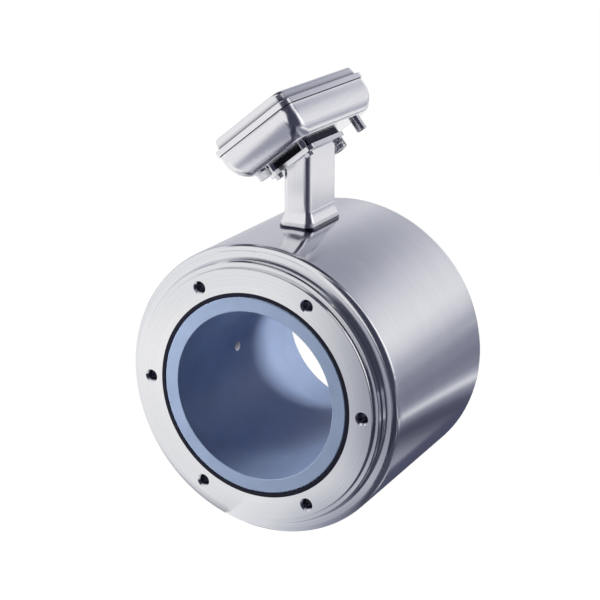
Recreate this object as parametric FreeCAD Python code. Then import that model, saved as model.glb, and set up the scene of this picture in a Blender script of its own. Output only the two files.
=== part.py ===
import FreeCAD, Part
import math
import os

# Magnetic flow meter for hygienic pipework, nominal bore 150 mm.
# Millimetres. Origin at the middle of the bore. +Y along the flow, +Z up the neck, +X right.
# The sensor is a lined tube inside a welded drum. A neck carries a tilted connection box.

os.makedirs("parts", exist_ok=True)

Vector = FreeCAD.Vector
CENTRE = Vector(0, 0, 0)
X_AXIS = Vector(1, 0, 0)
Y_AXIS = Vector(0, 1, 0)
Z_AXIS = Vector(0, 0, 1)

# Overall
face_to_face = 202.0
bore_radius = 75.0

# Liner and measuring tube
liner_wall = 4.0
liner_flare_width = 12.7
liner_flare_thickness = 4.0
liner_flare_fillet = 1.2
liner_mouth_fillet = 0.8
tube_wall = 3.0

# Flange rings, from the bore outwards
gasket_ring_width = 3.7
gasket_edge = 0.6
bolt_circle_diameter = 205.0
bolt_count = 6
thread_core_diameter = 8.5
thread_depth = 18.0
thread_chamfer_diameter = 11.8
face_margin = 9.6
face_chamfer = 0.6
step_width = 0.9
step_depth = 3.6
land_width = 3.5
land_chamfer = 1.0
ring_depth = 24.0
tube_seat_depth = 8.0

# Drum
cap_annulus_width = 12.0
shell_wall = 2.0
cap_face_depth = 11.4
cap_shoulder_radius = 5.5
cap_depth = 20.0
weld_collar_depth = 9.2
weld_collar_width = 1.3

# Electrodes
electrode_head_radius = 4.5
electrode_head_thickness = 2.0
electrode_pin_radius = 2.5
electrode_length = 25.0
electrode_fit = 0.05
boss_radius = 11.0
boss_bore_radius = 6.0
boss_height = 6.5
sleeve_flange_radius = 9.0
sleeve_flange_thickness = 2.0
spring_radius = 6.2
spring_thickness = 0.8
spring_cone = 1.2
spring_count = 4
electrode_nut_flats = 9.0
electrode_nut_height = 3.4

# Field coils
pole_shoe_thickness = 3.0
pole_shoe_half_angle = 30.0
pole_shoe_half_length = 30.0
core_half_angle = 15.0
core_half_length = 20.0
coil_clearance = 0.4
coil_winding_angle = 20.0
coil_winding_width = 20.0
coil_height = 12.0
core_height = 14.5
band_thickness = 2.0
band_half_length = 46.0
band_window_radius = 18.0
lead_radius = 1.2
lead_bend = 14.0
lead_neck_gap = 5.2
lead_turn_drop = 24.0

# Neck
neck_width = 26.0
neck_corner = 5.5
neck_wall = 2.0
foot_flare = 3.2
foot_flare_height = 10.0
foot_height = 15.0
foot_weld_width = 1.2
foot_weld_height = 1.6
shell_slot_width = 16.0

# Head frame: the box floor's centre lies above the drum, tilted about the flow axis
head_tilt = 38.6
head_rise = 68.7

# Connection box, in the head frame
box_width = 88.0
box_length = 144.6
box_corner = 10.5
box_depth = 27.0
box_wall = 1.6
lip_overhang = 1.0
seal_gap = 0.7
seal_width = 2.8
lip_height = 5.2
lid_height = 14.5
lid_ledge = 3.2
lid_edge_radius = 3.0
lid_rim_radius = 1.0
lid_wall = 1.6
lid_draft = 0.8
post_radius = 5.0
post_inset = 14.0
lid_screw_radius = 2.5
lid_screw_head_radius = 4.2
lid_screw_head_height = 2.4
lid_screw_fit = 0.3
lid_screw_length = 24.5
lid_socket_flats = 4.0
lid_socket_depth = 1.6

# Neck plate and box gasket, in the head frame
plate_offset = -8.75
plate_end_gap = 40.3
plate_thickness = 4.0
plate_side_gap = 17.5
plate_corner = 7.0
plate_rim = 6.5
gasket_height = 4.5
gasket_side_setback = 3.0
gasket_setback = 1.5
gasket_corner = 6.0
gasket_relief = 0.4
wire_slot_width = 14.0
wire_slot_offset = -15.0
wire_slot_end_gap = 8.5
box_bolt_side_edge = 8.25
box_bolt_radius = 2.0
box_bolt_head_flats = 7.0
box_bolt_head_height = 2.8
box_bolt_edge = 4.5
box_bolt_fit = 0.2
box_bolt_tip = 1.5
washer_radius = 4.0
washer_thickness = 0.8
box_nut_height = 3.2
spacer_flats = 7.0

# Entries under the box, in the head frame, set from the box's ends and sides
gland_across = -6.5
gland_end_gap = 25.3
gland_thread_radius = 7.8
gland_thread_wall = 1.0
gland_thread_length = 5.0
gland_flats = 18.0
gland_hex_height = 6.0
gland_nut_height = 9.5
gland_nut_radius = 8.8
gland_nut_round = 2.5
gland_bore_radius = 4.5
gland_seal_height = 3.0
cable_radius = 3.0
gland_flutes = 14
flute_radius = 1.0
lock_nut_height = 3.5
lock_nut_flats = 19.0
plug_side_gap = 17.0
plug_end_gap = 26.3
plug_thread_radius = 4.5
plug_flats = 11.0
plug_height = 7.0
plug_collar_radius = 6.6
plug_collar_height = 1.2
nipple_side_gap = 23.0
nipple_end_gap = 19.3
nipple_radius = 4.75
nipple_wall = 1.0
nipple_length = 11.5
thread_end = 2.0

# Terminals, in the head frame
rail_height = 3.0
rail_thickness = 1.5
rail_side_gap = 21.0
rail_end_gap = 30.3
rail_corner = 4.0
rail_standoff_radius = 3.0
rail_clearance = 0.5
block_width = 16.0
block_end_gap = 10.0
block_height = 13.0
block_poles = 8
terminal_screw_radius = 2.2
terminal_screw_seat = 6.0
funnel_depth = 3.5
funnel_height = 4.5

# Worked out from the sizes above
half_length = face_to_face / 2
liner_radius = bore_radius + liner_wall
tube_radius = liner_radius + tube_wall
liner_flare_radius = bore_radius + liner_flare_width
gasket_outer_radius = liner_flare_radius + gasket_ring_width
bolt_circle_radius = bolt_circle_diameter / 2
face_outer_radius = bolt_circle_radius + face_margin
step_radius = face_outer_radius + step_width
land_radius = step_radius + land_width
ring_radius = land_radius + land_chamfer
shell_radius = ring_radius + cap_annulus_width
foot_top_height = shell_radius + foot_height
head_height = shell_radius + head_rise
plate_width = box_width - 2 * plate_side_gap
plate_length = box_length - 2 * plate_end_gap
neck_length = plate_length - 2 * plate_rim
gasket_width = plate_width - 2 * gasket_side_setback
gasket_length = plate_length - 2 * gasket_setback
box_bolt_spacing_width = plate_width - 2 * box_bolt_side_edge
box_bolt_spacing_length = plate_length - 2 * box_bolt_edge
wire_slot_length = neck_length - 2 * wire_slot_end_gap
shell_slot_length = wire_slot_length + 2 * neck_wall - 2.0
gland_along = box_length / 2 - gland_end_gap
plug_across = -(box_width / 2 - plug_side_gap)
plug_along = -(box_length / 2 - plug_end_gap)
nipple_across = box_width / 2 - nipple_side_gap
nipple_along = box_length / 2 - nipple_end_gap
rail_width = box_width - 2 * rail_side_gap
rail_length = box_length - 2 * rail_end_gap
lock_nut_reach = lock_nut_flats / math.sqrt(3)
block_length = rail_length - 2 * block_end_gap
parts_made = {}


def keep(name, shape):
    """Remember a finished piece and write it."""
    solids = shape.Solids
    piece = solids[0] if len(solids) == 1 else Part.makeCompound(solids)
    parts_made[name] = piece
    piece.exportStep("parts/" + name + ".step")


def rounded_wire(corners, place):
    """Closed outline from (a, b, radius) corners, with a tangent arc at each radius above 0."""
    count = len(corners)
    flat = [Vector(c[0], c[1], 0) for c in corners]
    stops = []
    for i, corner in enumerate(corners):
        here = flat[i]
        radius = corner[2]
        if radius <= 0:
            stops.append((here, None, here))
            continue
        back = (flat[i - 1] - here).normalize()
        ahead = (flat[(i + 1) % count] - here).normalize()
        half = back.getAngle(ahead) / 2
        reach = radius / math.tan(half)
        middle_line = (back + ahead).normalize()
        middle = here + middle_line * (radius / math.sin(half) - radius)
        stops.append((here + back * reach, middle, here + ahead * reach))
    edges = []
    for i, (start, middle, end) in enumerate(stops):
        if middle is not None:
            edges.append(Part.Arc(place(start), place(middle), place(end)).toShape())
        next_start = stops[(i + 1) % count][0]
        if end.distanceToPoint(next_start) > 1e-6:
            edges.append(Part.LineSegment(place(end), place(next_start)).toShape())
    return Part.Wire(edges)


def revolved(corners):
    """Solid turned about the flow axis from (radius, y, corner radius) points."""
    wire = rounded_wire(corners, lambda p: Vector(p.x, p.y, 0))
    return Part.Face(wire).revolve(CENTRE, Y_AXIS, 360)


def bar_ring(inner, outer, start, end):
    """Plain ring round the flow axis between two y values."""
    base = Vector(0, start, 0)
    ring = Part.makeCylinder(outer, end - start, base, Y_AXIS)
    return ring.cut(Part.makeCylinder(inner, end - start, base, Y_AXIS))


def rounded_rectangle(width, length, corner, height, across=0.0, along=0.0):
    """Flat wire of a rounded rectangle at a height."""
    half_w = width / 2
    half_l = length / 2
    corners = [(half_w, half_l), (-half_w, half_l), (-half_w, -half_l), (half_w, -half_l)]
    points = [(across + x, along + y, corner) for x, y in corners]
    return rounded_wire(points, lambda p: Vector(p.x, p.y, height))


def slab(width, length, corner, bottom, top, across=0.0, along=0.0):
    """Rounded rectangular prism between two heights."""
    wire = rounded_rectangle(width, length, corner, bottom, across, along)
    return Part.Face(wire).extrude(Vector(0, 0, top - bottom))


def hexagon(flats, bottom, top, across=0.0, along=0.0, turn=0.0):
    """Six-sided prism by its width over flats."""
    reach = flats / 2 / math.cos(math.radians(30))
    points = []
    for i in range(6):
        angle = math.radians(60 * i + turn)
        points.append(Vector(across + reach * math.cos(angle), along + reach * math.sin(angle), bottom))
    return Part.Face(Part.makePolygon(points + [points[0]])).extrude(Vector(0, 0, top - bottom))


def post(radius, bottom, top, across=0.0, along=0.0):
    """Upright cylinder between two heights."""
    return Part.makeCylinder(radius, top - bottom, Vector(across, along, bottom))


def in_head(shape):
    """Move a shape from the head frame to the part's frame."""
    tilt = FreeCAD.Rotation(Y_AXIS, -head_tilt)
    moved = shape.copy()
    moved.Placement = FreeCAD.Placement(Vector(0, 0, head_height), tilt)
    return moved


def mirrored(shape, axis):
    """Mirror through the origin's plane across an axis."""
    return shape.mirror(CENTRE, axis)


def bent_tube(points, radius, bend):
    """Round lead along straight runs joined by tangent arcs."""
    edges = []
    at = points[0]
    for i in range(1, len(points) - 1):
        here = points[i]
        back = (points[i - 1] - here).normalize()
        ahead = (points[i + 1] - here).normalize()
        half = back.getAngle(ahead) / 2
        shortest = min(points[i - 1].distanceToPoint(here), points[i + 1].distanceToPoint(here))
        arc_radius = min(bend, 0.45 * shortest * math.tan(half))
        reach = arc_radius / math.tan(half)
        start = here + back * reach
        end = here + ahead * reach
        middle = here + (back + ahead).normalize() * (arc_radius / math.sin(half) - arc_radius)
        edges.append(Part.LineSegment(at, start).toShape())
        edges.append(Part.Arc(start, middle, end).toShape())
        at = end
    edges.append(Part.LineSegment(at, points[-1]).toShape())
    path = Part.Wire(edges)
    section = Part.Wire(Part.makeCircle(radius, points[0], points[1] - points[0]))
    return path.makePipeShell([section], True, False)


def ring_of_holes(radius, start, depth):
    """Holes along the flow axis on the bolt circle, from the inlet face inwards."""
    holes = []
    for i in range(bolt_count):
        angle = math.radians(360.0 * i / bolt_count)
        x = bolt_circle_radius * math.cos(angle)
        z = bolt_circle_radius * math.sin(angle)
        holes.append(Part.makeCylinder(radius, depth, Vector(x, start, z), Y_AXIS))
    return holes


def make_flange_ring():
    """Turned ring: sealing face, stepped edge, seats for gasket, liner flare and tube."""
    face = -half_length
    tube_seat = face + ring_depth - tube_seat_depth
    body = revolved([
        (gasket_outer_radius, face, 0),
        (face_outer_radius, face, face_chamfer),
        (step_radius, face + step_depth, 0),
        (land_radius, face + step_depth, land_chamfer),
        (ring_radius, face + step_depth + 2 * land_chamfer, 0),
        (ring_radius, face + ring_depth, 0),
        (tube_radius, face + ring_depth, 0),
        (tube_radius, tube_seat, 0),
        (liner_radius, tube_seat, 0),
        (liner_radius, face + liner_flare_thickness, 0),
        (gasket_outer_radius, face + liner_flare_thickness, 0),
    ])
    thread_radius = thread_core_diameter / 2
    body = body.cut(ring_of_holes(thread_radius, face, thread_depth))
    chamfer_radius = thread_chamfer_diameter / 2
    chamfer_depth = chamfer_radius - thread_radius
    cones = []
    for i in range(bolt_count):
        angle = math.radians(360.0 * i / bolt_count)
        at = Vector(bolt_circle_radius * math.cos(angle), face, bolt_circle_radius * math.sin(angle))
        cones.append(Part.makeCone(chamfer_radius, thread_radius, chamfer_depth, at, Y_AXIS))
    return body.cut(cones)


def make_end_cap():
    """Drawn cap with a weld collar on the ring, a flat annulus and a rounded shoulder."""
    face = -half_length
    front = face + cap_face_depth
    end = face + cap_depth
    collar = ring_radius + weld_collar_width
    inner_shoulder = cap_shoulder_radius - shell_wall
    return revolved([
        (ring_radius, face + weld_collar_depth, 0),
        (collar, front, 0),
        (shell_radius, front, cap_shoulder_radius),
        (shell_radius, end, 0),
        (shell_radius - shell_wall, end, 0),
        (shell_radius - shell_wall, front + shell_wall, inner_shoulder),
        (ring_radius, front + shell_wall, 0),
    ])


def make_liner():
    """Moulded tube with a flared sealing face at each end and two electrode holes."""
    flare = half_length - liner_flare_thickness
    body = revolved([
        (bore_radius, -half_length, liner_mouth_fillet),
        (liner_flare_radius, -half_length, liner_flare_fillet),
        (liner_flare_radius, -flare, 0),
        (liner_radius, -flare, 0),
        (liner_radius, flare, 0),
        (liner_flare_radius, flare, 0),
        (liner_flare_radius, half_length, liner_flare_fillet),
        (bore_radius, half_length, liner_mouth_fillet),
    ])
    start = bore_radius - 1.0
    pin_hole = Part.makeCylinder(electrode_pin_radius + electrode_fit, liner_wall + 2, Vector(start, 0, 0), X_AXIS)
    seat_depth = electrode_head_thickness + 1.0
    head_seat = Part.makeCylinder(electrode_head_radius + electrode_fit, seat_depth, Vector(start, 0, 0), X_AXIS)
    hole = pin_hole.fuse(head_seat)
    return body.cut([hole, mirrored(hole, X_AXIS)])


def make_measuring_tube():
    """Tube seated in both flange rings, with a hole for each electrode sleeve."""
    end = half_length - ring_depth + tube_seat_depth
    body = bar_ring(liner_radius, tube_radius, -end, end)
    reach = 2 * (tube_radius + 1)
    hole = Part.makeCylinder(boss_bore_radius, reach, Vector(-reach / 2, 0, 0), X_AXIS)
    return body.cut(hole)


def make_face_gasket():
    """Rubber ring between the liner's flare and the flange ring."""
    face = -half_length
    inner = liner_flare_radius
    depth = liner_flare_thickness
    return revolved([
        (inner, face, gasket_edge),
        (gasket_outer_radius, face, gasket_edge),
        (gasket_outer_radius, face + depth, 0),
        (inner, face + depth, 0),
    ])


def make_right_electrode_set():
    """Electrode on the +X side with its boss, sleeve, spring washers and nut."""
    across = 4 * boss_radius
    base = Vector(0, -across / 2, 0)
    bore = Part.makeCylinder(bore_radius, across, base, Y_AXIS)
    liner = Part.makeCylinder(liner_radius, across, base, Y_AXIS)
    tube = Part.makeCylinder(tube_radius, across, base, Y_AXIS)
    inside = Vector(bore_radius - 1, 0, 0)
    head = Part.makeCylinder(electrode_head_radius, electrode_head_thickness + 1, inside, X_AXIS)
    pin = Part.makeCylinder(electrode_pin_radius, electrode_length, Vector(bore_radius, 0, 0), X_AXIS)
    electrode = head.fuse(pin).cut(bore).removeSplitter()

    boss_end = tube_radius + boss_height
    reach = boss_end - inside.x
    boss = Part.makeCylinder(boss_radius, reach, inside, X_AXIS)
    boss = boss.cut([tube, Part.makeCylinder(boss_bore_radius, reach, inside, X_AXIS)])

    sleeve = Part.makeCylinder(boss_bore_radius, reach, inside, X_AXIS)
    flange = Part.makeCylinder(sleeve_flange_radius, sleeve_flange_thickness, Vector(boss_end, 0, 0), X_AXIS)
    sleeve = sleeve.fuse(flange)
    pin_bore = Part.makeCylinder(electrode_pin_radius + electrode_fit, reach + electrode_length, inside, X_AXIS)
    sleeve = sleeve.cut([liner, pin_bore]).removeSplitter()

    at = boss_end + sleeve_flange_thickness
    washers = []
    for i in range(spring_count):
        narrow = spring_radius - spring_cone
        wide = spring_radius
        first = wide if i % 2 == 0 else narrow
        second = narrow if i % 2 == 0 else wide
        base = Vector(at + i * spring_thickness, 0, 0)
        washer = Part.makeCone(first, second, spring_thickness, base, X_AXIS)
        washers.append(washer.cut(pin_bore))
    springs = Part.makeCompound(washers)

    at = at + spring_count * spring_thickness
    nut = hexagon(electrode_nut_flats, 0, electrode_nut_height)
    nut.rotate(CENTRE, Y_AXIS, 90)
    nut.translate(Vector(at, 0, 0))
    nut = nut.cut(pin_bore)
    return {"electrode": electrode, "electrode_boss": boss, "electrode_sleeve": sleeve,
            "electrode_springs": springs, "electrode_nut": nut}


def sector(inner, outer, half_length_y, half_angle):
    """Curved block over the top of the tube, within an angle each side of +Z."""
    face = Part.Face(Part.makePolygon([
        Vector(inner, -half_length_y, 0), Vector(outer, -half_length_y, 0),
        Vector(outer, half_length_y, 0), Vector(inner, half_length_y, 0),
        Vector(inner, -half_length_y, 0)]))
    block = face.revolve(CENTRE, Y_AXIS, 2 * half_angle)
    block.rotate(CENTRE, Y_AXIS, -90 - half_angle)
    return block


def make_pole_shoe():
    """Curved shoe on the tube with the core that the coil sits round."""
    shoe_top = tube_radius + pole_shoe_thickness
    shoe = sector(tube_radius, shoe_top, pole_shoe_half_length, pole_shoe_half_angle)
    core = sector(tube_radius, shoe_top + core_height, core_half_length, core_half_angle)
    return shoe.fuse(core).removeSplitter()


def make_coil():
    """Saddle coil: a curved frame round the core, on the pole shoe."""
    bottom = tube_radius + pole_shoe_thickness + coil_clearance
    window_angle = core_half_angle + 1.0
    window_length = core_half_length + 1.0
    outer_angle = window_angle + coil_winding_angle
    outer = sector(bottom, bottom + coil_height, window_length + coil_winding_width, outer_angle)
    window = sector(bottom - 1, bottom + coil_height + 1, window_length, window_angle)
    return outer.cut(window)


def make_return_band():
    """Steel band round both cores, with a window for each electrode."""
    inner = tube_radius + pole_shoe_thickness + core_height
    band = bar_ring(inner, inner + band_thickness, -band_half_length, band_half_length)
    reach = 2 * (inner + band_thickness + 1)
    window = Part.makeCylinder(band_window_radius, reach, Vector(-reach / 2, 0, 0), X_AXIS)
    return band.cut(window)


def lead_top(x, y):
    """Last two points of a lead: where it turns to the head, and its end at the terminals."""
    turn_z = head_height - lead_turn_drop
    turn = Vector(x, y, turn_z)
    tilt = math.radians(head_tilt)
    rise = Vector(-math.sin(tilt), 0, math.cos(tilt))
    along_rise = (turn - Vector(0, 0, head_height)).dot(rise)
    return [turn, turn + rise * (rail_height + rail_thickness + box_wall - along_rise)]


def make_leads():
    """Signal leads of both electrodes and the leads of both coils, up the neck."""
    start = bore_radius + electrode_length
    coil_end = core_half_length + 1.0 + coil_winding_width
    coil_middle = tube_radius + pole_shoe_thickness + coil_clearance + coil_height / 2
    band_outside = tube_radius + pole_shoe_thickness + core_height + band_thickness
    orbit = (band_outside + shell_radius - shell_wall) / 2
    under_neck = shell_radius - lead_neck_gap

    def beside_band(angle, y):
        turn = math.radians(angle)
        return Vector(orbit * math.cos(turn), y, orbit * math.sin(turn))

    right_points = [Vector(start, 0, 0), beside_band(0, 0), beside_band(30, 0), beside_band(60, 0),
                    Vector(3, 0, under_neck)] + lead_top(3, 0)
    left_points = [Vector(-start, 0, 0), beside_band(180, 0), beside_band(150, 0), beside_band(120, 0),
                   Vector(-3, 0, under_neck)] + lead_top(-3, 0)
    far = coil_end + lead_bend
    upper_points = [Vector(0, coil_end, coil_middle), Vector(0, far, coil_middle),
                    Vector(0, far, orbit), Vector(0, 9, under_neck + 2)] + lead_top(0, 9)
    lower_points = [Vector(0, -coil_end, -coil_middle), Vector(0, -far, -coil_middle),
                    beside_band(-60, -far), beside_band(-20, -far), beside_band(20, -far),
                    beside_band(60, -far), Vector(0, -9, under_neck + 2)] + lead_top(0, -9)
    routes = {"right_electrode_lead": right_points, "left_electrode_lead": left_points,
              "upper_coil_lead": upper_points, "lower_coil_lead": lower_points}
    return {name: bent_tube(points, lead_radius, lead_bend) for name, points in routes.items()}


def neck_section(growth, height):
    """Outline of the neck's outside, grown evenly on all sides."""
    width = neck_width + 2 * growth
    length = neck_length + 2 * growth
    return rounded_rectangle(width, length, neck_corner + growth, height)


def neck_form(inset):
    """Solid neck with its flared foot, drawn in by an inset, cut by drum and plate."""
    top = head_height + 20
    flare_start = foot_top_height - foot_flare_height
    straight = Part.Face(neck_section(-inset, foot_top_height)).extrude(Vector(0, 0, top - foot_top_height))
    sections = []
    steps = 5
    for i in range(steps + 1):
        share = i / steps
        growth = foot_flare * (1 - math.sin(share * math.pi / 2))
        sections.append(neck_section(growth - inset, flare_start + foot_flare_height * share))
    flare = Part.makeLoft(sections, True, False)
    skirt = Part.Face(neck_section(foot_flare - inset, flare_start - 25)).extrude(Vector(0, 0, 25))
    form = straight.fuse([flare, skirt]).removeSplitter()
    above = slab(300, 300, 10, -gasket_height - plate_thickness, 100)
    return form.cut(in_head(above))


def make_neck():
    """Hollow neck on the drum, with a weld bead round its foot."""
    bead_top = shell_radius + foot_weld_height - 1.0
    bead = Part.Face(neck_section(foot_flare + foot_weld_width, bead_top - 20)).extrude(Vector(0, 0, 20))
    outside = neck_form(0.0).fuse(bead)
    body = outside.cut(neck_form(neck_wall))
    drum = Part.makeCylinder(shell_radius, 120, Vector(0, -60, 0), Y_AXIS)
    body = body.cut(drum)
    return max(body.Solids, key=lambda s: s.Volume)


def make_housing_shell():
    """Rolled cylinder between the caps, with the wire slot under the neck."""
    end = half_length - cap_depth
    body = bar_ring(shell_radius - shell_wall, shell_radius, -end, end)
    inside = shell_radius - 10 * shell_wall
    corner = shell_slot_width / 2 - 0.1
    slot = slab(shell_slot_width, shell_slot_length, corner, inside, shell_radius + 1)
    return body.cut(slot)


def bolt_places():
    """Centres of the four box bolts in the head frame."""
    half_w = box_bolt_spacing_width / 2
    half_l = box_bolt_spacing_length / 2
    signs = [(1, 1), (-1, 1), (-1, -1), (1, -1)]
    return [(plate_offset + sx * half_w, sy * half_l) for sx, sy in signs]


def wire_slot(bottom, top):
    """Passage for the leads through plate, gasket and box floor."""
    corner = wire_slot_width / 2 - 0.1
    return slab(wire_slot_width, wire_slot_length, corner, bottom, top, wire_slot_offset, 0)


def make_neck_plate():
    """Sloping plate on the neck, with bolt holes and the wire slot."""
    top = -gasket_height
    bottom = top - plate_thickness
    body = slab(plate_width, plate_length, plate_corner, bottom, top, plate_offset, 0)
    holes = [post(box_bolt_radius + box_bolt_fit, bottom - 1, top + 1, x, y) for x, y in bolt_places()]
    return body.cut(holes + [wire_slot(bottom - 1, top + 1)])


def make_box_gasket():
    """Thick black gasket, cut away round the four spacers."""
    body = slab(gasket_width, gasket_length, gasket_corner, -gasket_height, 0, plate_offset, 0)
    clear = spacer_flats / 2 / math.cos(math.radians(30)) + gasket_relief
    reliefs = [post(clear, -gasket_height - 1, 1, x, y) for x, y in bolt_places()]
    return body.cut(reliefs + [wire_slot(-gasket_height - 1, 1)])


def make_box_fasteners():
    """Bolts, washers, spacers and nuts that hold the box on the plate."""
    plate_bottom = -gasket_height - plate_thickness
    head_top = plate_bottom - washer_thickness
    bolt_end = box_wall + box_nut_height + box_bolt_tip
    bolts = []
    washers = []
    spacers = []
    nuts = []
    hole = box_bolt_radius + box_bolt_fit
    for x, y in bolt_places():
        head = hexagon(box_bolt_head_flats, head_top - box_bolt_head_height, head_top, x, y)
        bolts.append(head.fuse(post(box_bolt_radius, head_top, bolt_end, x, y)).removeSplitter())
        washers.append(post(washer_radius, head_top, plate_bottom, x, y).cut(post(hole, head_top, plate_bottom, x, y)))
        spacer = hexagon(spacer_flats, -gasket_height, 0, x, y, 30)
        spacers.append(spacer.cut(post(hole, -gasket_height, 0, x, y)))
        nut = hexagon(box_bolt_head_flats, box_wall, box_wall + box_nut_height, x, y)
        nuts.append(nut.cut(post(box_bolt_radius, box_wall, box_wall + box_nut_height, x, y)))
    return {"box_bolts": bolts, "box_washers": washers, "box_spacers": spacers, "box_nuts": nuts}


def box_form(inset, floor):
    """Tapering deep-drawn tray form: straight rim, bend, then a sloping rounded wall."""
    side = [(box_depth, 0.0), (21.0, 0.15), (16.0, 0.5), (12.0, 1.3), (8.2, 2.6), (4.6, 4.6), (1.7, 7.0), (0.0, 9.6)]
    depth_scale = (box_depth - floor) / box_depth
    sections = []
    for height, taper in side:
        width = box_width - 2 * (lip_overhang + inset + taper)
        length = box_length - 2 * (lip_overhang + inset + taper)
        corner = box_corner - inset + 0.25 * taper
        sections.append(rounded_rectangle(width, length, corner, floor + height * depth_scale))
    sections.reverse()
    return Part.makeLoft(sections, True, False)


def lid_screw_places():
    """Centres of the four lid screws in the head frame."""
    half_w = box_width / 2 - post_inset
    half_l = box_length / 2 - post_inset
    return [(sx * half_w, sy * half_l) for sx in (-1, 1) for sy in (-1, 1)]


def make_box_body():
    """Drawn tray with a floor, corner posts for the lid screws, and its entries."""
    body = box_form(0.0, 0.0).cut(box_form(box_wall, box_wall))
    posts = []
    for x, y in lid_screw_places():
        posts.append(post(post_radius, box_wall * 0.5, box_depth - 1.0, x, y))
    inside = box_form(box_wall * 0.5, box_wall * 0.5)
    body = body.fuse([p.common(inside) for p in posts])
    half_w = rail_width / 2 - rail_corner
    half_l = gland_along - lock_nut_reach - rail_standoff_radius - 2 * rail_clearance
    rail_bottom = box_wall + rail_height
    feet = []
    for sx in (-1, 1):
        for sy in (-1, 1):
            feet.append(post(rail_standoff_radius, box_wall * 0.5, rail_bottom, sx * half_w, sy * half_l))
    body = body.fuse(feet).removeSplitter()
    cuts = [post(box_bolt_radius + box_bolt_fit, -1, box_wall + 1, x, y) for x, y in bolt_places()]
    cuts += [post(lid_screw_radius, box_depth - 14, box_depth + 1, x, y) for x, y in lid_screw_places()]
    cuts.append(wire_slot(-1, box_wall + 1))
    cuts.append(post(gland_thread_radius, -1, box_wall + 2, gland_across, gland_along))
    cuts.append(post(plug_thread_radius, -1, box_wall + 2, plug_across, plug_along))
    cuts.append(post(nipple_radius, -1, box_wall + 2, nipple_across, nipple_along))
    return body.cut(cuts)


def make_lid_seal():
    """Flat rubber frame on the box's rim, under the lid's lip."""
    bottom = box_depth
    top = box_depth + seal_gap
    width = box_width - 2 * lip_overhang
    length = box_length - 2 * lip_overhang
    outer = slab(width, length, box_corner, bottom, top)
    narrow = 2 * seal_width
    return outer.cut(slab(width - narrow, length - narrow, box_corner - narrow / 2, bottom - 1, top + 1))


def make_box_lid():
    """Drawn lid: upright lip, ledge and a raised top with a rounded edge."""
    bottom = box_depth + seal_gap
    ledge = box_depth + lip_height + 0.6
    top = box_depth + lid_height
    lip = slab(box_width, box_length, box_corner, bottom, ledge)
    root = rounded_rectangle(box_width - 2 * lid_ledge, box_length - 2 * lid_ledge, box_corner - lid_ledge / 2, ledge - 1)
    crown_draw = lid_ledge + lid_draft
    crown = rounded_rectangle(box_width - 2 * crown_draw, box_length - 2 * crown_draw, box_corner - lid_ledge / 2, top)
    raised = Part.makeLoft([root, crown], True, True)
    top_edges = [e for e in raised.Edges if abs(e.BoundBox.ZMin - top) < 1e-4 and abs(e.BoundBox.ZMax - top) < 1e-4]
    raised = raised.makeFillet(lid_edge_radius, top_edges)
    outside = lip.fuse(raised).removeSplitter()
    rim_edges = []
    for e in outside.Edges:
        box = e.BoundBox
        if abs(box.ZMin - ledge) < 1e-4 and abs(box.ZMax - ledge) < 1e-4:
            middle = e.valueAt((e.FirstParameter + e.LastParameter) / 2)
            outermost = abs(middle.x) > box_width / 2 - 1 or abs(middle.y) > box_length / 2 - 1
            if outermost:
                rim_edges.append(e)
    corner_middle = box_corner * (1 - math.sqrt(0.5))
    for e in outside.Edges:
        middle = e.valueAt((e.FirstParameter + e.LastParameter) / 2)
        at_corner = abs(abs(middle.x) - (box_width / 2 - corner_middle)) < 0.01
        if abs(middle.z - ledge) < 1e-4 and at_corner and not any(e.isSame(r) for r in rim_edges):
            rim_edges.append(e)
    outside = outside.makeFillet(lid_rim_radius, rim_edges)
    hollow_lip = slab(box_width - 2 * lid_wall - 2, box_length - 2 * lid_wall - 2, box_corner - lid_wall - 1,
                      bottom - 1, ledge - lid_wall)
    gap = lid_ledge + lid_draft + lid_wall
    hollow_top = slab(box_width - 2 * gap, box_length - 2 * gap, box_corner - gap, bottom - 1, top - lid_wall)
    body = outside.cut([hollow_lip, hollow_top])
    cuts = []
    for x, y in lid_screw_places():
        cuts.append(post(lid_screw_radius + lid_screw_fit, top - 10, top + 1, x, y))
        cuts.append(post(lid_screw_head_radius + 0.2, top - lid_screw_head_height, top + 1, x, y))
    bosses = []
    for x, y in lid_screw_places():
        bosses.append(post(post_radius + 1.5, bottom + 0.5, top - lid_wall * 0.5, x, y))
    body = body.fuse(bosses)
    through = [post(lid_screw_radius + lid_screw_fit, bottom - 1, top + 1, x, y) for x, y in lid_screw_places()]
    return body.cut(cuts + through)


def make_lid_screws():
    """Flush socket screws through the lid into the corner posts."""
    top = box_depth + lid_height
    screws = []
    for x, y in lid_screw_places():
        head = post(lid_screw_head_radius, top - lid_screw_head_height, top, x, y)
        shank = post(lid_screw_radius, top - lid_screw_length, top - lid_screw_head_height, x, y)
        socket = hexagon(lid_socket_flats, top - lid_socket_depth, top + 1, x, y)
        screws.append(head.fuse(shank).removeSplitter().cut(socket))
    return screws


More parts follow.
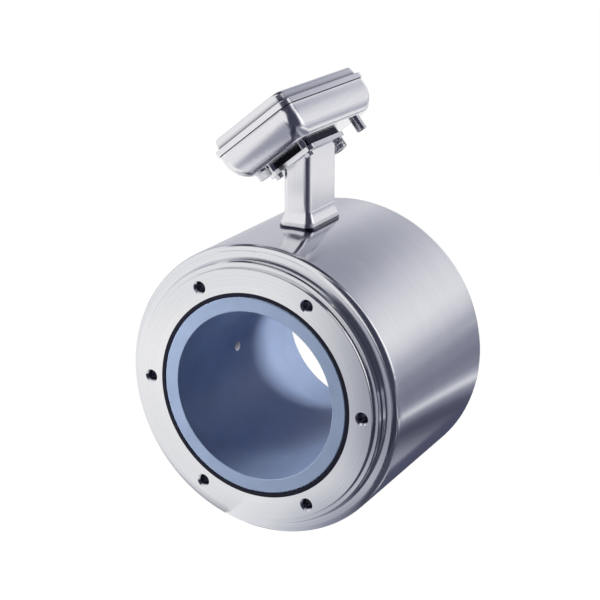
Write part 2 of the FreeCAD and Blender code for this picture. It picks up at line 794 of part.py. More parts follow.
def make_gland():
    """Cable gland: threaded body with a hexagon, fluted dome nut, seal and inner lock nut."""
    x = gland_across
    y = gland_along
    hex_bottom = -gland_hex_height
    nut_bottom = hex_bottom - gland_nut_height
    thread_bottom = hex_bottom - gland_thread_length
    seal_bottom = thread_bottom - gland_seal_height
    thread_top = box_wall + lock_nut_height + 1.0
    neck_radius = gland_thread_radius - gland_thread_wall
    body = hexagon(gland_flats, hex_bottom, 0, x, y).fuse(post(gland_thread_radius, 0, thread_top, x, y))
    body = body.fuse(post(neck_radius, thread_bottom, hex_bottom, x, y))
    body = body.cut(post(gland_bore_radius, thread_bottom - 1, thread_top + 1, x, y)).removeSplitter()
    nut = post(gland_nut_radius, nut_bottom, hex_bottom, x, y)
    low_edges = [e for e in nut.Edges if abs(e.BoundBox.ZMax - nut_bottom) < 1e-4]
    nut = nut.makeFillet(gland_nut_round, low_edges)
    flutes = []
    for i in range(gland_flutes):
        angle = 2 * math.pi * i / gland_flutes
        reach = gland_nut_radius + 0.3 * flute_radius
        fx = x + reach * math.cos(angle)
        fy = y + reach * math.sin(angle)
        flutes.append(post(flute_radius, nut_bottom - 1, hex_bottom - 1.0, fx, fy))
    nut = nut.cut(flutes)
    nut = nut.cut([post(neck_radius, seal_bottom, hex_bottom, x, y),
                   post(gland_bore_radius, nut_bottom - 1, hex_bottom, x, y)])
    seal = post(neck_radius, seal_bottom, thread_bottom, x, y)
    seal = seal.fuse(post(gland_bore_radius, nut_bottom, seal_bottom, x, y))
    seal = seal.cut(post(cable_radius, nut_bottom - 1, hex_bottom, x, y)).removeSplitter()
    lock = hexagon(lock_nut_flats, box_wall, box_wall + lock_nut_height, x, y)
    lock = lock.cut(post(gland_thread_radius, box_wall, box_wall + lock_nut_height, x, y))
    return {"gland_body": body, "gland_nut": nut, "gland_seal": seal, "gland_lock_nut": lock}


def make_hex_plug():
    """Blanking plug with a round collar and hexagon head."""
    x = plug_across
    y = plug_along
    head = hexagon(plug_flats, -plug_height, -plug_collar_height, x, y, 15)
    collar = post(plug_collar_radius, -plug_collar_height, 0, x, y)
    thread = post(plug_thread_radius, 0, box_wall + thread_end, x, y)
    return head.fuse([collar, thread]).removeSplitter()


def make_nipple():
    """Open tube stub through the box floor."""
    top = box_wall + thread_end
    body = post(nipple_radius, -nipple_length, top, nipple_across, nipple_along)
    return body.cut(post(nipple_radius - nipple_wall, -nipple_length - 1, top + 1, nipple_across, nipple_along))


def make_terminals():
    """Rail plate on the floor's standoffs, terminal block with funnels, clamp screws."""
    bottom = box_wall + rail_height
    top = bottom + rail_thickness
    plate = slab(rail_width, rail_length, rail_corner, bottom, top)
    window = slab(wire_slot_width, wire_slot_length - 4, wire_slot_width / 2 - 0.1, bottom - 1, top + 1,
                  wire_slot_offset, 0)
    nut_clear = box_bolt_head_flats / 2 / math.cos(math.radians(30)) + rail_clearance
    lock_clear = lock_nut_reach + rail_clearance
    openings = [post(nut_clear, bottom - 1, top + 1, x, y) for x, y in bolt_places()]
    openings.append(post(lock_clear, bottom - 1, top + 1, gland_across, gland_along))
    plate = plate.cut([window] + openings)
    block_at = wire_slot_offset
    block = slab(block_width, block_length, 1.0, top, top + block_height, block_at, 0)
    pitch = block_length / block_poles
    seat = top + terminal_screw_seat
    block_top = top + block_height
    funnel_x = block_at + block_width / 2 - funnel_depth
    funnel_width = 0.6 * pitch
    slot_length = 3 * terminal_screw_radius
    cuts = []
    screws = []
    for i in range(block_poles):
        y = (i - (block_poles - 1) / 2) * pitch
        cuts.append(post(terminal_screw_radius, seat, block_top + 1, block_at, y))
        corner = Vector(funnel_x, y - funnel_width / 2, top + 1)
        cuts.append(Part.makeBox(funnel_depth + 1, funnel_width, funnel_height, corner))
        screw = post(terminal_screw_radius, seat, block_top - 1.0, block_at, y)
        corner = Vector(block_at - slot_length / 2, y - 0.4, block_top - 2.0)
        screws.append(screw.cut(Part.makeBox(slot_length, 0.8, 2.0, corner)))
    block = block.cut(cuts)
    return {"rail_plate": plate, "terminal_block": block, "terminal_screws": screws}


ring = make_flange_ring()
keep("inlet_flange_ring", ring)
keep("outlet_flange_ring", mirrored(ring, Y_AXIS))
cap = make_end_cap()
keep("inlet_end_cap", cap)
keep("outlet_end_cap", mirrored(cap, Y_AXIS))
keep("housing_shell", make_housing_shell())
keep("liner", make_liner())
keep("measuring_tube", make_measuring_tube())
seal_ring = make_face_gasket()
keep("inlet_gasket", seal_ring)
keep("outlet_gasket", mirrored(seal_ring, Y_AXIS))

for piece_name, piece_shape in make_right_electrode_set().items():
    keep("right_" + piece_name, piece_shape)
    keep("left_" + piece_name, mirrored(piece_shape, X_AXIS))

shoe_shape = make_pole_shoe()
keep("upper_pole_shoe", shoe_shape)
keep("lower_pole_shoe", mirrored(shoe_shape, Z_AXIS))
coil_shape = make_coil()
keep("upper_coil", coil_shape)
keep("lower_coil", mirrored(coil_shape, Z_AXIS))
keep("return_band", make_return_band())
for piece_name, piece_shape in make_leads().items():
    keep(piece_name, piece_shape)

keep("neck", make_neck())
keep("neck_plate", in_head(make_neck_plate()))
keep("box_gasket", in_head(make_box_gasket()))
for piece_name, piece_list in make_box_fasteners().items():
    keep(piece_name, Part.makeCompound([in_head(s) for s in piece_list]))
keep("box_body", in_head(make_box_body()))
keep("lid_seal", in_head(make_lid_seal()))
keep("box_lid", in_head(make_box_lid()))
keep("lid_screws", Part.makeCompound([in_head(s) for s in make_lid_screws()]))
for piece_name, piece_shape in make_gland().items():
    keep(piece_name, in_head(piece_shape))
keep("hex_plug", in_head(make_hex_plug()))
keep("conduit_nipple", in_head(make_nipple()))
for piece_name, made in make_terminals().items():
    if isinstance(made, list):
        keep(piece_name, Part.makeCompound([in_head(s) for s in made]))
    else:
        keep(piece_name, in_head(made))

for piece_name, piece in parts_made.items():
    print(piece_name, len(piece.Solids), piece.isValid(), round(piece.Volume, 1))
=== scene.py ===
import math

import bpy
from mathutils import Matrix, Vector


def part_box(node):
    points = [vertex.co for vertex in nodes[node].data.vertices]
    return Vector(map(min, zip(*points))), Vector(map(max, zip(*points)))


# Magnetic flow meter for hygienic pipework: looks, light and camera.
# Metres. Origin at the middle of the bore, +Y along the flow, +Z up the neck.

MILLIMETRE = 0.001

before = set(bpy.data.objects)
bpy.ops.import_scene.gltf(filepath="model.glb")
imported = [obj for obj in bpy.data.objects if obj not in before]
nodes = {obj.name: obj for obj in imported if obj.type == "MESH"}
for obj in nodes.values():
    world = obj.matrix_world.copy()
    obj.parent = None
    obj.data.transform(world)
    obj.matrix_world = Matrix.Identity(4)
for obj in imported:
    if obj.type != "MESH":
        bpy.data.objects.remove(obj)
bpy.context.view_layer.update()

# Sizes worked out from the frame
drum_low, drum_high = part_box("housing_shell")
drum_radius = (drum_high.x - drum_low.x) / 2
face_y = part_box("inlet_flange_ring")[0].y
floor_z = drum_low.z


# Camera
# It looks down on the inlet face from the front right.
CAMERA_AZIMUTH = math.radians(28.556)
CAMERA_ELEVATION = math.radians(18.496)
CAMERA_PLACE = Vector((0.63650, -1.18737, 0.50719))
SENSOR_WIDTH = 36.0
LENS_LENGTH = 96.15
CLIP_START = 0.05
CLIP_END = 50


def make_camera():
    """The photograph's view, with no shift and everything in focus."""
    data = bpy.data.cameras.new("camera")
    data.sensor_width = SENSOR_WIDTH
    data.lens = LENS_LENGTH
    data.dof.use_dof = False
    data.clip_start = CLIP_START
    data.clip_end = CLIP_END
    camera = bpy.data.objects.new("camera", data)
    bpy.context.scene.collection.objects.link(camera)
    back = Vector(
        (
            math.sin(CAMERA_AZIMUTH) * math.cos(CAMERA_ELEVATION),
            -math.cos(CAMERA_AZIMUTH) * math.cos(CAMERA_ELEVATION),
            math.sin(CAMERA_ELEVATION),
        )
    )
    camera.rotation_mode = "QUATERNION"
    camera.location = CAMERA_PLACE
    camera.rotation_quaternion = (-back).to_track_quat("-Z", "Y")
    bpy.context.scene.camera = camera


# Materials

BOLT_CIRCLE_RADIUS = 102.5 * MILLIMETRE
TAPPED_HOLE_REACH = 5.5 * MILLIMETRE
LEAD_IN_DEPTH = 0.9 * MILLIMETRE
CORNER_SHADE_REACH = 4.5 * MILLIMETRE
WELD_AND_SHADE_REACH = 1.6 * MILLIMETRE
# Where noise, which runs from 0 to 1, starts and stops to vary a value.
NOISE_LOW = 0.3
NOISE_HIGH = 0.7
# The share of open sky at which a corner counts as closed, and as open, and its darkest share.
CLOSED_SKY = 0.68
OPEN_SKY = 0.96
DARKEST_SHARE = 0.95
# A quarter turn, so that the grain lies along the tangent.
ALONG_TANGENT = 0.25
ROUGHNESS_REACH = 0.05


def linear(hex_colour):
    """An sRGB hex colour as the linear colour that a shader takes."""
    shares = [int(hex_colour[start : start + 2], 16) / 255 for start in (1, 3, 5)]
    turned = [
        share / 12.92 if share <= 0.04045 else ((share + 0.055) / 1.055) ** 2.4 for share in shares
    ]
    return (*turned, 1.0)


def add(tree, kind, inputs=None, **settings):
    """Adds one node. inputs maps a socket's name or number to a value or to another node's output."""
    node = tree.nodes.new(kind)
    for name, value in settings.items():
        setattr(node, name, value)
    for socket, value in (inputs or {}).items():
        if isinstance(value, bpy.types.NodeSocket):
            tree.links.new(value, node.inputs[socket])
        else:
            node.inputs[socket].default_value = value
    return node


def new_material(name, colour, roughness, metallic=0.0, **settings):
    """A named material with its shader, whose plain values sit on the shader's own sockets."""
    material = bpy.data.materials.new(name)
    material.use_nodes = True
    tree = material.node_tree
    tree.nodes.clear()
    shader = add(
        tree,
        "ShaderNodeBsdfPrincipled",
        {"Base Color": linear(colour), "Roughness": roughness, "Metallic": metallic},
    )
    for socket, value in settings.items():
        shader.inputs[socket.replace("_", " ")].default_value = value
    add(tree, "ShaderNodeOutputMaterial", {"Surface": shader.outputs[0]})
    return material, tree, shader


def noise(tree, place, scale, detail=3.0):
    """Noise at a place, in grains per metre."""
    inputs = {"Vector": place, "Scale": scale, "Detail": detail}
    return add(tree, "ShaderNodeTexNoise", inputs).outputs["Fac"]


def stretched_noise(tree, scale, detail=3.0):
    """Noise in the row frame whose grains are scaled along each axis, in grains per metre."""
    place = add(tree, "ShaderNodeTexCoord").outputs["Object"]
    mapped = add(tree, "ShaderNodeMapping", {"Vector": place, "Scale": scale}).outputs[0]
    return noise(tree, mapped, 1.0, detail)


def turned_place(tree):
    """Radius from the bore's axis and place along it, so that a pattern runs round the axis."""
    place = add(tree, "ShaderNodeTexCoord").outputs["Object"]
    split = add(tree, "ShaderNodeSeparateXYZ", {0: place})
    flat = add(tree, "ShaderNodeCombineXYZ", {"X": split.outputs["X"], "Z": split.outputs["Z"]})
    radius = add(tree, "ShaderNodeVectorMath", {0: flat.outputs[0]}, operation="LENGTH").outputs["Value"]
    return add(tree, "ShaderNodeCombineXYZ", {"X": radius, "Y": split.outputs["Y"]}).outputs[0]


def span(tree, value, low, high):
    """Turns a pattern from 0..1 to low..high."""
    inputs = {"Value": value, "From Min": NOISE_LOW, "From Max": NOISE_HIGH, "To Min": low, "To Max": high}
    return add(tree, "ShaderNodeMapRange", inputs).outputs["Result"]


def ramp_of(tree, value, stops, interpolation="EASE"):
    """A colour ramp with a stop for each place and hex colour."""
    ramp = add(tree, "ShaderNodeValToRGB", {"Fac": value})
    ramp.color_ramp.interpolation = interpolation
    elements = ramp.color_ramp.elements
    while len(elements) < len(stops):
        elements.new(0.5)
    for element, (place, colour) in zip(elements, stops):
        element.position = place
        element.color = linear(colour)
    return ramp.outputs["Color"]


def shade(tree, shader, value, dark, light):
    """Lets a pattern vary the base colour between two hex colours."""
    colour = ramp_of(tree, value, ((NOISE_LOW, dark), (NOISE_HIGH, light)), "LINEAR")
    tree.links.new(colour, shader.inputs["Base Color"])


def relief(tree, shader, height, depth):
    """A bump whose depth is in metres."""
    bump = add(tree, "ShaderNodeBump", {"Height": height, "Distance": depth, "Strength": 1.0})
    tree.links.new(bump.outputs["Normal"], shader.inputs["Normal"])


def darken(tree, shader, share, dark):
    """Mixes a dark tone into the base colour where share is 1."""
    bright = shader.inputs["Base Color"].links[0].from_socket
    mixed = add(
        tree, "ShaderNodeMix", {"Factor": share, "A": bright, "B": linear(dark)}, data_type="RGBA"
    )
    tree.links.new(mixed.outputs["Result"], shader.inputs["Base Color"])


def within(tree, value, middle, reach):
    """1 where a value lies within reach of the middle, else 0."""
    return add(
        tree, "ShaderNodeMath", {0: value, 1: middle, 2: reach}, operation="COMPARE"
    ).outputs[0]


def painted_corner_shade(tree, reach):
    """1 in tight inner corners, where the colour is darkened as painted shade, fading to 0 in the open."""
    open_share = add(
        tree, "ShaderNodeAmbientOcclusion", {"Distance": reach}, samples=8, only_local=True
    ).outputs["AO"]
    inputs = {
        "Value": open_share,
        "From Min": CLOSED_SKY,
        "From Max": OPEN_SKY,
        "To Min": DARKEST_SHARE,
        "To Max": 0.0,
    }
    return add(tree, "ShaderNodeMapRange", inputs).outputs["Result"]


def run_round_axis(tree, shader):
    """The grain runs round the bore's axis, so gloss spreads across it."""
    tangent = add(tree, "ShaderNodeTangent", direction_type="RADIAL", axis="Y")
    tree.links.new(tangent.outputs[0], shader.inputs["Tangent"])


def turned_stainless():
    """Stainless steel 1.4404, face turned: fine rings that catch the light in a soft fan."""
    material, tree, shader = new_material(
        "stainless_turned", "#D9DADE", 0.13, 1.0, Anisotropic=0.5, Anisotropic_Rotation=ALONG_TANGENT
    )
    run_round_axis(tree, shader)
    # Feed marks every 0.25 mm would not show, so they are drawn about 1.5 mm wide.
    place = turned_place(tree)
    rings = noise(tree, place, 700.0)
    shade(tree, shader, rings, "#D7D8DC", "#DEDFE2")
    tree.links.new(span(tree, rings, 0.12, 0.15), shader.inputs["Roughness"])
    # Below their lead-in the tapped holes are darkened: painted shade in the cut threads.
    parts = add(tree, "ShaderNodeSeparateXYZ", {0: place}).outputs
    on_circle = within(tree, parts["X"], BOLT_CIRCLE_RADIUS, TAPPED_HOLE_REACH)
    below = within(tree, parts["Y"], 0.0, -face_y - LEAD_IN_DEPTH)
    painted_thread_shade = add(tree, "ShaderNodeMath", {0: on_circle, 1: below}, operation="MULTIPLY").outputs[0]
    darken(tree, shader, painted_thread_shade, "#A6A6B0")
    return material


def drum_stainless():
    """Stainless steel sheet, belt ground round the drum: satin, with long fine lines round it."""
    material, tree, shader = new_material(
        "stainless_belt_ground", "#DFE0E4", 0.13, 1.0, Anisotropic=0.6, Anisotropic_Rotation=ALONG_TANGENT
    )
    run_round_axis(tree, shader)
    # Grit 180 leaves lines 0.1 mm wide; they are drawn 0.7 mm wide and 60 mm long.
    lines = stretched_noise(tree, (16.0, 1400.0, 16.0))
    cloud = stretched_noise(tree, (26.0, 34.0, 26.0), 2.0)
    mixed = add(
        tree, "ShaderNodeMix", {"Factor": 0.35, "A": lines, "B": cloud}, data_type="FLOAT"
    ).outputs["Result"]
    shade(tree, shader, mixed, "#D9DADF", "#E4E4E8")
    tree.links.new(span(tree, mixed, 0.11, 0.16), shader.inputs["Roughness"])
    return material


def drawn_stainless():
    """Stainless steel sheet, deep drawn and polished: clear bands of light on the rounded shoulder."""
    material, tree, shader = new_material(
        "stainless_drawn_polished", "#DCDDE2", 0.17, 1.0, Anisotropic=0.3, Anisotropic_Rotation=ALONG_TANGENT
    )
    run_round_axis(tree, shader)
    # Polishing lines 0.2 mm wide are drawn 1 mm wide.
    lines = noise(tree, turned_place(tree), 1000.0)
    shade(tree, shader, lines, "#D8D9DE", "#E1E2E6")
    tree.links.new(span(tree, lines, 0.15, 0.19), shader.inputs["Roughness"])
    return material


def head_stainless(name, lines_scale):
    """Stainless steel sheet, ground to a bright satin along the longest side of the piece."""
    material, tree, shader = new_material(name, "#E4E4E8", 0.2, 1.0)
    lines = stretched_noise(tree, lines_scale)
    shade(tree, shader, lines, "#E0E0E5", "#E8E8EB")
    tree.links.new(span(tree, lines, 0.18, 0.22), shader.inputs["Roughness"])
    # Painted shade: the colour goes darker in tight inner corners.
    darken(tree, shader, painted_corner_shade(tree, CORNER_SHADE_REACH), "#4A4C5C")
    # Where the piece meets the drum, a dark line: the weld round the foot, with painted shade in the joint.
    radius = add(tree, "ShaderNodeSeparateXYZ", {0: turned_place(tree)}).outputs["X"]
    darken(tree, shader, within(tree, radius, drum_radius, WELD_AND_SHADE_REACH), "#3A3C4C")
    return material


def liner_plastic():
    """PFA fluoropolymer, transfer moulded: smooth, waxy, pale slate blue."""
    material, tree, shader = new_material("pfa_moulded", "#8EA4CC", 0.34, Specular_IOR_Level=0.42)
    # Flow shading in the moulding is about 20 mm across, the skin's orange peel about 2 mm.
    clouds = stretched_noise(tree, (50.0, 50.0, 50.0), 2.0)
    shade(tree, shader, clouds, "#8AA0C8", "#92A8D0")
    peel = stretched_noise(tree, (500.0, 500.0, 500.0), 1.0)
    relief(tree, shader, peel, 0.02 * MILLIMETRE)
    return material


def black_rubber():
    """EPDM rubber, moulded: black with a faint blue-grey bloom."""
    material, tree, shader = new_material("epdm_moulded", "#16171E", 0.55, Specular_IOR_Level=0.2)
    bloom = stretched_noise(tree, (400.0, 400.0, 400.0))
    shade(tree, shader, bloom, "#0A0C1A", "#15182B")
    tree.links.new(span(tree, bloom, 0.48, 0.62), shader.inputs["Roughness"])
    relief(tree, shader, bloom, 0.05 * MILLIMETRE)
    return material


def plain_finish(name, dark, light, roughness, metallic, grain, depth):
    """An inner or small piece: two near colours, a roughness and a grain, in millimetres."""
    material, tree, shader = new_material(name, light, roughness, metallic)
    scale = 1 / (grain * MILLIMETRE)
    pattern = stretched_noise(tree, (scale, scale, scale))
    shade(tree, shader, pattern, dark, light)
    varied = span(tree, pattern, roughness - ROUGHNESS_REACH, roughness + ROUGHNESS_REACH)
    tree.links.new(varied, shader.inputs["Roughness"])
    relief(tree, shader, pattern, depth * MILLIMETRE)
    return material


def dress_nodes():
    """Gives each CAD node the finish of the real piece."""
    flange = turned_stainless()
    drum = drum_stainless()
    cap = drawn_stainless()
    # The neck's lines run up it, 0.8 mm apart as drawn; the box's run along it.
    neck = head_stainless("stainless_satin_neck", (1200.0, 1200.0, 25.0))
    box = head_stainless("stainless_satin_box", (900.0, 30.0, 900.0))
    liner = liner_plastic()
    rubber = black_rubber()
    # Darkest and lightest colour, roughness, metallic share, then the grain and its depth in millimetres.
    electrode = plain_finish("nickel_alloy_turned", "#D4D3D0", "#E4E3E0", 0.16, 1.0, 0.6, 0.004)
    tube = plain_finish("stainless_drawn_tube", "#A4A5A9", "#C6C7CB", 0.38, 1.0, 3.0, 0.01)
    core = plain_finish("electrical_steel_oiled", "#5E6066", "#7C7E85", 0.45, 1.0, 1.5, 0.02)
    tape = plain_finish("coil_tape_varnished", "#8C5A22", "#B27A34", 0.42, 0.0, 4.0, 0.08)
    insulator = plain_finish("peek_machined", "#B9A27C", "#CDB892", 0.48, 0.0, 1.2, 0.01)
    lead = plain_finish("silicone_sleeve", "#8E2F2B", "#A93C35", 0.5, 0.0, 1.0, 0.02)
    fastener = plain_finish("stainless_a4_cold_headed", "#BFC0C6", "#E2E2E6", 0.24, 1.0, 0.8, 0.008)
    plastic = plain_finish("polyamide_moulded", "#3A3D42", "#4B4F55", 0.5, 0.0, 0.9, 0.02)
    rail = plain_finish("steel_zinc_plated", "#A8ADB4", "#C3C8CE", 0.36, 1.0, 2.5, 0.015)
    finish_of = {
        "turned_flange_steel": flange,
        "satin_drum_steel": drum,
        "satin_head_steel": box,
        "liner_fluoropolymer": liner,
        "black_rubber": rubber,
        "electrode_alloy": electrode,
        "tube_steel": tube,
        "core_steel": core,
        "coil_tape": tape,
        "insulator": insulator,
        "lead_sleeve": lead,
        "fastener_steel": fastener,
        "terminal_plastic": plastic,
        "rail_steel": rail,
    }
    for node in nodes.values():
        for slot in node.material_slots:
            slot_name = slot.material.name.split(".")[0]
            if slot_name not in finish_of:
                print("no finish for slot", slot_name)
                continue
            slot.material = finish_of[slot_name]
    finish_of_node = {
        "neck": neck,
        "neck_plate": neck,
        "inlet_end_cap": cap,
        "outlet_end_cap": cap,
    }
    for name, finish in finish_of_node.items():
        for slot in nodes[name].material_slots:
            slot.material = finish


# Studio

LAMP_COLOUR = "#FFF5E8"
BACKDROP_STRENGTH = 1.0
SOFT_STRENGTH = 0.04
FLOOR_HALF = 6.0
FLOOR_LIFT_NEAR = 0.98
FLOOR_LIFT_FAR = 1.0
FLOOR_NEAR = 0.25
FLOOR_FAR = 0.6
# Screens on the floor lie at these heights over it; a higher one hides what lies under it.
FIRST_LIFT = 0.001
SECOND_LIFT = 0.0015
THIRD_LIFT = 0.0025
CARD_HEIGHT = 0.26
RIGHT_SCREEN_DROP = 0.25

# Directions on the floor: out from the drum's right side and across that, and the way in which the
# turned face mirrors the camera and beside that.
DRUM_SIDE = Vector((0.8, 0.6, 0))
ACROSS = Vector((-0.6, 0.8, 0))
MIRRORED = Vector((-0.478, -0.878, 0))
BESIDE = Vector((0.878, -0.478, 0))


def lifted(height):
    """A shift from the middle of the bore to a height over the floor."""
    return Vector((0, 0, floor_z + height))


def show_background(tree, backdrop, object_light):
    """Camera, gloss and see-through rays meet the backdrop; the rest meet the light on the object."""
    path = add(tree, "ShaderNodeLightPath").outputs
    seen = path["Is Camera Ray"]
    for kind in ("Is Glossy Ray", "Is Transmission Ray"):
        seen = add(tree, "ShaderNodeMath", {0: seen, 1: path[kind]}, operation="MAXIMUM").outputs[0]
    return add(tree, "ShaderNodeMixShader", {"Fac": seen, 1: object_light, 2: backdrop}).outputs[0]


def make_world():
    """A white backdrop and an even, soft light."""
    world = bpy.data.worlds.new("studio")
    world.use_nodes = True
    tree = world.node_tree
    tree.nodes.clear()
    white, soft = (
        add(tree, "ShaderNodeBackground", {"Color": linear(tone), "Strength": strength}).outputs[0]
        for tone, strength in (("#FFFFFF", BACKDROP_STRENGTH), ("#E6EBF5", SOFT_STRENGTH))
    )
    add(tree, "ShaderNodeOutputWorld", {"Surface": show_background(tree, white, soft)})
    bpy.context.scene.world = world


def make_lamp(name, place, aim, size, power):
    """A soft lamp, in metres and watts. Metal sees the backdrop and the screens instead of it."""
    data = bpy.data.lights.new(name, "AREA")
    data.shape = "RECTANGLE"
    data.size = size
    data.size_y = size
    data.energy = power
    data.color = linear(LAMP_COLOUR)[:3]
    lamp = bpy.data.objects.new(name, data)
    bpy.context.scene.collection.objects.link(lamp)
    lamp.location = place
    lamp.rotation_mode = "QUATERNION"
    lamp.rotation_quaternion = (Vector(aim) - Vector(place)).to_track_quat("-Z", "Y")
    lamp.visible_glossy = False


def make_screen(name, corner, along, side, stops, soft=0.15, strength=1.0):
    """A studio screen that only gloss sees.

    It grades along its length from stop to stop, each a place in metres and a colour, and fades at
    its sides over soft, a share of its width.
    """
    corner, along, side = Vector(corner), Vector(along), Vector(side)
    mesh = bpy.data.meshes.new(name)
    corners = [corner, corner + along, corner + along + side, corner + side]
    mesh.from_pydata([tuple(point) for point in corners], [], [(0, 1, 2, 3)])
    places = mesh.uv_layers.new(name="place")
    for loop, place in zip(places.data, ((0, 0), (1, 0), (1, 1), (0, 1))):
        loop.uv = place
    screen = bpy.data.objects.new(name, mesh)
    bpy.context.scene.collection.objects.link(screen)
    material = bpy.data.materials.new(name)
    material.use_nodes = True
    tree = material.node_tree
    tree.nodes.clear()
    place = add(tree, "ShaderNodeUVMap", uv_map="place").outputs[0]
    split = add(tree, "ShaderNodeSeparateXYZ", {0: place})
    length = along.length
    colour = ramp_of(tree, split.outputs["X"], [(at / length, tone) for at, tone in stops], "LINEAR")
    fade = ramp_of(
        tree,
        split.outputs["Y"],
        ((0.0, "#000000"), (soft, "#FFFFFF"), (1 - soft, "#FFFFFF"), (1.0, "#000000")),
    )
    glow = add(tree, "ShaderNodeEmission", {"Color": colour, "Strength": strength}).outputs[0]
    clear = add(tree, "ShaderNodeBsdfTransparent").outputs[0]
    mixed = add(tree, "ShaderNodeMixShader", {"Fac": fade, 1: clear, 2: glow}).outputs[0]
    add(tree, "ShaderNodeOutputMaterial", {"Surface": mixed})
    mesh.materials.append(material)
    screen.visible_camera = False
    screen.visible_diffuse = False
    screen.visible_transmission = False
    screen.visible_shadow = False


def make_floor():
    """A floor that shows white, with a faint shadow of the object close to it."""
    mesh = bpy.data.meshes.new("floor")
    corners = [(x, y, floor_z) for x, y in ((-1, -1), (1, -1), (1, 1), (-1, 1))]
    mesh.from_pydata([(x * FLOOR_HALF, y * FLOOR_HALF, z) for x, y, z in corners], [], [(0, 1, 2, 3)])
    floor = bpy.data.objects.new("floor", mesh)
    bpy.context.scene.collection.objects.link(floor)
    material = bpy.data.materials.new("floor_paper")
    material.use_nodes = True
    tree = material.node_tree
    tree.nodes.clear()
    paper = add(tree, "ShaderNodeBsdfDiffuse", {"Color": linear("#8C8C8C")}).outputs[0]
    shaded = add(tree, "ShaderNodeBsdfDiffuse", {"Color": linear("#404040")}).outputs[0]
    place = add(tree, "ShaderNodeTexCoord").outputs["Object"]
    away = add(tree, "ShaderNodeVectorMath", {0: place}, operation="LENGTH").outputs["Value"]
    # Close to the object the glow is a little weaker: painted shade round it, under which its real faint
    # shadow shows.
    inputs = {
        "Value": away,
        "From Min": FLOOR_NEAR,
        "From Max": FLOOR_FAR,
        "To Min": FLOOR_LIFT_NEAR,
        "To Max": FLOOR_LIFT_FAR,
    }
    strength = add(tree, "ShaderNodeMapRange", inputs).outputs["Result"]
    lift = add(tree, "ShaderNodeEmission", {"Color": linear("#FFFFFF"), "Strength": strength}).outputs[0]
    white = add(tree, "ShaderNodeAddShader", {0: shaded, 1: lift}).outputs[0]
    add(tree, "ShaderNodeOutputMaterial", {"Surface": show_background(tree, white, paper)})
    mesh.materials.append(material)


def make_studio():
    """Soft lamps for the plastics and graded screens for the metal."""
    make_world()
    make_floor()
    make_lamp("key", place=(-0.42, -0.52, 0.16), aim=(0, -0.1, 0), size=0.22, power=5.0)
    make_lamp("rear", place=(1.25, 0.62, 0.42), aim=(-0.07, 0.06, 0), size=0.25, power=26)
    make_screens_behind()
    make_screens_right()
    make_screens_front()


def make_screens_behind():
    """Screens behind, to the left and overhead."""
    # Behind: bright near the horizon, greyer higher up.
    make_screen(
        "screen_behind",
        corner=(-5.0, 2.6, floor_z),
        along=(0, 0, 3.6),
        side=(7.3, 0, 0),
        stops=(
            (0.0, "#B8BAC5"),
            (0.12, "#C8C9D2"),
            (0.3, "#E0E1E6"),
            (0.65, "#F8F8FA"),
            (1.14, "#F0F0F3"),
            (1.4, "#E2E3E8"),
            (1.6, "#D0D1DA"),
            (1.85, "#9A9CAB"),
            (2.1, "#A3A5B3"),
            (3.6, "#9A9CAA"),
        ),
        soft=0.04,
    )
    # Behind on the right, bright: the white line where the cap meets the drum.
    make_screen(
        "screen_behind_right",
        corner=(2.05, 2.3, floor_z),
        along=(0, 0, 2.4),
        side=(0.55, -2.0, 0),
        stops=((0.0, "#D8D9DF"), (0.5, "#FFFFFF"), (2.0, "#FFFFFF"), (2.4, "#B6B8C5")),
        soft=0.12,
        strength=1.35,
    )
    # Behind on the left it is a little greyer.
    make_screen(
        "screen_behind_left",
        corner=(-6.0, 2.5, floor_z),
        along=(0, 0, 3.6),
        side=(5.2, 0, 0),
        stops=((0.0, "#CCCDD5"), (1.3, "#D2D3DA"), (1.85, "#B8BAC6"), (3.6, "#9A9CAA")),
        soft=0.1,
    )
    # On the floor behind, left.
    make_screen(
        "screen_floor_left",
        corner=(-3.2, 0.4, floor_z + FIRST_LIFT),
        along=(2.9, 0, 0),
        side=(0, 2.1, 0),
        stops=((0.0, "#D0D1D8"), (2.4, "#D0D1D8"), (2.9, "#FFFFFF")),
        soft=0.1,
    )
    # Overhead, dark: it draws the line on the top of the cap's shoulder.
    make_screen(
        "screen_above",
        corner=(-2.2, -0.7, 2.1),
        along=(3.4, 0, 0),
        side=(0, 2.6, 0),
        stops=((0.0, "#8A8C9A"), (0.6, "#3C3E4C"), (2.8, "#3C3E4C"), (3.4, "#8A8C9A")),
    )


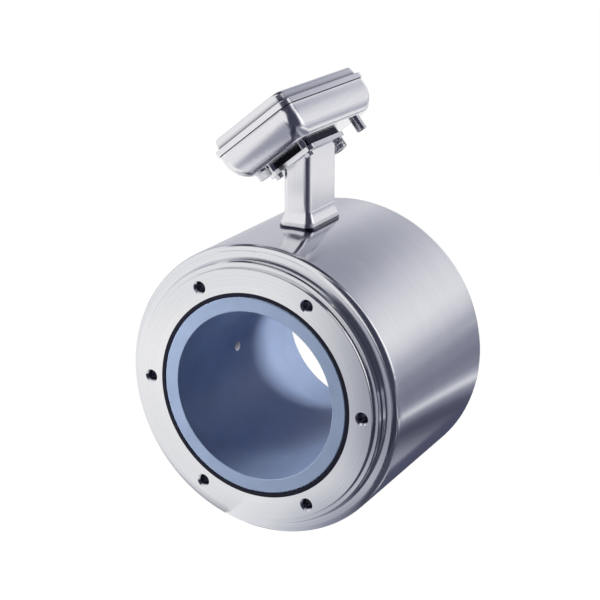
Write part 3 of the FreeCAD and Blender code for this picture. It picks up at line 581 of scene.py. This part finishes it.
def make_screens_right():
    """Screens on the right of the drum and below it."""
    # On the floor behind and to the right: a dark band beside the drum, a light strip, then grey.
    make_screen(
        "screen_floor_right",
        corner=0.09 * DRUM_SIDE - 1.0 * ACROSS + lifted(FIRST_LIFT),
        along=0.6 * DRUM_SIDE,
        side=1.45 * ACROSS,
        stops=(
            (0.0, "#AAACB8"),
            (0.05, "#9799A8"),
            (0.075, "#80818F"),
            (0.1, "#656777"),
            (0.13, "#515365"),
            (0.16, "#5B5D6F"),
            (0.2, "#9597A6"),
            (0.23, "#ECEDF1"),
            (0.26, "#B4B6C2"),
            (0.3, "#8E90A0"),
            (0.4, "#848696"),
            (0.6, "#8A8C9C"),
        ),
        soft=0.12,
    )
    # Further out the grey goes on behind the drum.
    make_screen(
        "screen_floor_far",
        corner=1.43 * DRUM_SIDE - 1.0 * ACROSS + lifted(FIRST_LIFT),
        along=2.26 * DRUM_SIDE,
        side=3.0 * ACROSS,
        stops=((0.0, "#B0B2BE"), (2.26, "#BBBDC8")),
    )
    # A low upright strip: only the drum's side sees it, as the neck and the box look over it.
    make_screen(
        "screen_low_right",
        corner=0.62 * DRUM_SIDE - 1.0 * ACROSS + lifted(FIRST_LIFT),
        along=(0, 0, 0.1),
        side=2.3 * ACROSS,
        stops=((0.0, "#8E90A0"), (0.035, "#9092A2"), (0.06, "#9799A8"), (0.1, "#B0B2BE")),
        soft=0.05,
    )
    # The floor below the drum, in its own shade.
    make_screen(
        "screen_floor_below",
        corner=(-0.22, -0.168, floor_z + SECOND_LIFT),
        along=(0.34, 0, 0),
        side=(0, 0.5, 0),
        stops=((0.0, "#FFFFFF"), (0.12, "#7A7C8C"), (0.22, "#4A4C5C"), (0.34, "#50526A")),
        soft=0.28,
    )


def make_screens_front():
    """Screens in front of the face."""
    # Close in front of the drum's low right side, a dark sheet of painted shade for the drum's shadow on the
    # floor: it darkens the lower part of the cap's shoulder.
    make_screen(
        "screen_floor_corner",
        corner=(-0.04, -0.26, floor_z + THIRD_LIFT),
        along=(0.32, 0, 0),
        side=(0, 0.26, 0),
        stops=((0.0, "#FFFFFF"), (0.04, "#ECEDF0"), (0.1, "#9A9CAA"), (0.15, "#4A4C5C"), (0.32, "#4A4C5C")),
        soft=0.35,
        strength=1.06,
    )
    # On the floor in front, right: darkens the right of the turned face and the box's low end.
    make_screen(
        "screen_floor_front",
        corner=0.064 * BESIDE - 0.06 * MIRRORED + lifted(FIRST_LIFT),
        along=BESIDE,
        side=1.26 * MIRRORED,
        stops=(
            (0.0, "#FFFFFF"),
            (0.045, "#F4F4F6"),
            (0.07, "#DCDDE3"),
            (0.09, "#B4B6C2"),
            (0.11, "#9A9CAA"),
            (0.22, "#8E90A0"),
            (0.4, "#4A4C5C"),
            (1.0, "#4A4C5C"),
        ),
        soft=0.08,
    )
    # A small level card in front, above the face: the grey lower half of the box's long side.
    make_screen(
        "screen_card_front",
        corner=(-0.088, -0.3, floor_z + CARD_HEIGHT),
        along=(0.115, 0, 0),
        side=(0, 0.19, 0),
        stops=((0.0, "#FFFFFF"), (0.035, "#A6A8B5"), (0.115, "#A0A2B0")),
        soft=0.25,
    )
    # On the floor further right of the face, dark.
    make_screen(
        "screen_floor_beside",
        corner=0.175 * BESIDE - 0.06 * MIRRORED + lifted(SECOND_LIFT),
        along=0.8 * BESIDE,
        side=0.4 * MIRRORED,
        stops=((0.0, "#7A7C8C"), (0.03, "#343646"), (0.8, "#343646")),
        soft=0.1,
    )
    # Upright at the right: the dark line on every corner that turns from the front to the right.
    make_screen(
        "screen_right",
        corner=(0.25, -1.45, floor_z - RIGHT_SCREEN_DROP),
        along=(1.15, 1.85, 0),
        side=(0, 0, 2.5),
        stops=((0.0, "#C8CAD4"), (0.2, "#424454"), (1.7, "#424454"), (2.178, "#A0A2B0")),
        soft=0.1,
    )


make_camera()
dress_nodes()
make_studio()

bpy.context.scene.view_settings.view_transform = "Standard"
